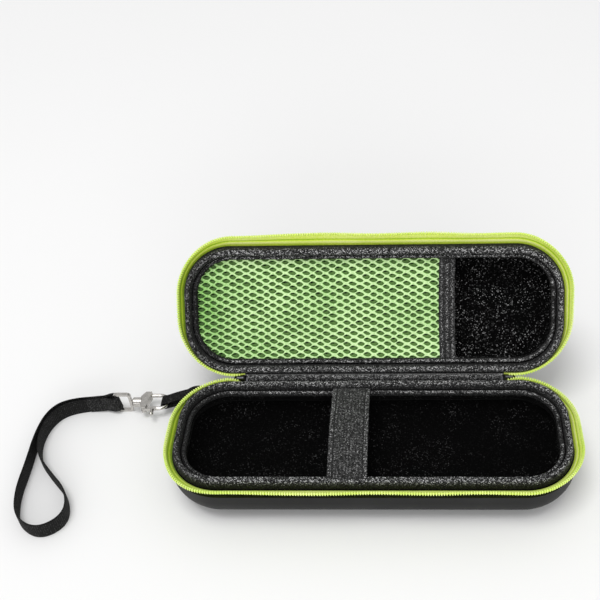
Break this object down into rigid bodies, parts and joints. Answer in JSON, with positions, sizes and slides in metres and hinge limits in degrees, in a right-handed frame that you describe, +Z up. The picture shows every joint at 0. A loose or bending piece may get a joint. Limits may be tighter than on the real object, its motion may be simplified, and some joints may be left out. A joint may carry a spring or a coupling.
{
  "type": "hard zip case for an electric shaver",
  "caption": "Black moulded hard case for an electric shaver, lying open: lime zipper all round, knit rolls, fleece liner, green mesh pocket, elastic strap, wrist strap on a clasp.",
  "frame": {"origin": "middle of the flat underside of the base half, which lies on the table", "axes": "+X along the case to the right as seen from the front, +Y back to the hinge and the open lid, +Z up"},
  "size_m": [0.321, 0.1579, 0.0987],
  "materials": {
    "eva": "matte",
    "gloss_cover": "gloss",
    "fleece": "matte",
    "knit": "matte",
    "lime_tape": "matte",
    "lime_coil": "satin",
    "green_mesh": "matte",
    "elastic": "matte",
    "webbing": "matte",
    "nickel": "polished",
    "black_metal": "satin",
    "pull_plastic": "satin"
  },
  "bodies": {
    "base": {"base_shell": "eva", "base_lining": "fleece", "base_binding": "knit", "base_inner_welt": "knit", "base_zipper_tape": "lime_tape", "base_zipper_coil": "lime_coil", "elastic_strap": "elastic", "spine_cover": "gloss_cover", "hinge_lining": "knit", "ribbon_loop": "webbing", "clasp_hook": "nickel", "gate_pin": "nickel"},
    "lid": {"lid_shell": "eva", "lid_lining": "fleece", "lid_binding": "knit", "lid_inner_welt": "knit", "lid_zipper_tape": "lime_tape", "lid_zipper_coil": "lime_coil", "mesh_pocket": "green_mesh", "pocket_edge": "elastic"},
    "slider_left": {"slider_left": "black_metal"},
    "slider_right": {"slider_right": "black_metal"},
    "pull_left": {"pull_left": "pull_plastic"},
    "pull_right": {"pull_right": "pull_plastic"},
    "clasp_gate": {"clasp_gate": "nickel"},
    "strap": {"swivel_ring": "nickel", "strap_fold": "webbing", "wrist_strap": "webbing"}
  },
  "joints": [
    {"name": "lid_hinge", "type": "hinge", "parent": "base", "child": "lid", "pos_m": [0, 0.04125, 0.031], "axis": [-1, 0, 0], "range_deg": [-126, 0], "deforming": ["spine_cover", "hinge_lining"]},
    {"name": "slider_left_run", "type": "slide", "parent": "base", "child": "slider_left", "axis": [-1, 0, 0], "range_m": [0, 0.008]},
    {"name": "slider_right_run", "type": "slide", "parent": "base", "child": "slider_right", "axis": [1, 0, 0], "range_m": [0, 0.008]},
    {"name": "pull_left_swing", "type": "hinge", "parent": "slider_left", "child": "pull_left", "pos_m": [-0.0802, 0.04477, 0.02409], "axis": [0, 0.891, 0.454], "range_deg": [-80, 80]},
    {"name": "pull_right_swing", "type": "hinge", "parent": "slider_right", "child": "pull_right", "pos_m": [0.0802, 0.04477, 0.02409], "axis": [0, -0.891, -0.454], "range_deg": [-80, 80]},
    {"name": "gate_turn", "type": "hinge", "parent": "base", "child": "clasp_gate", "pos_m": [-0.1417, 0.0366, 0.00775], "axis": [0, 0, -1], "range_deg": [0, 25], "stiffness_Nm_per_rad": 0.004},
    {"name": "strap_swivel", "type": "hinge", "parent": "base", "child": "strap", "pos_m": [-0.1509, 0.0418, 0.00775], "axis": [-1, 0, 0], "range_deg": [0, 180]}
  ]
}
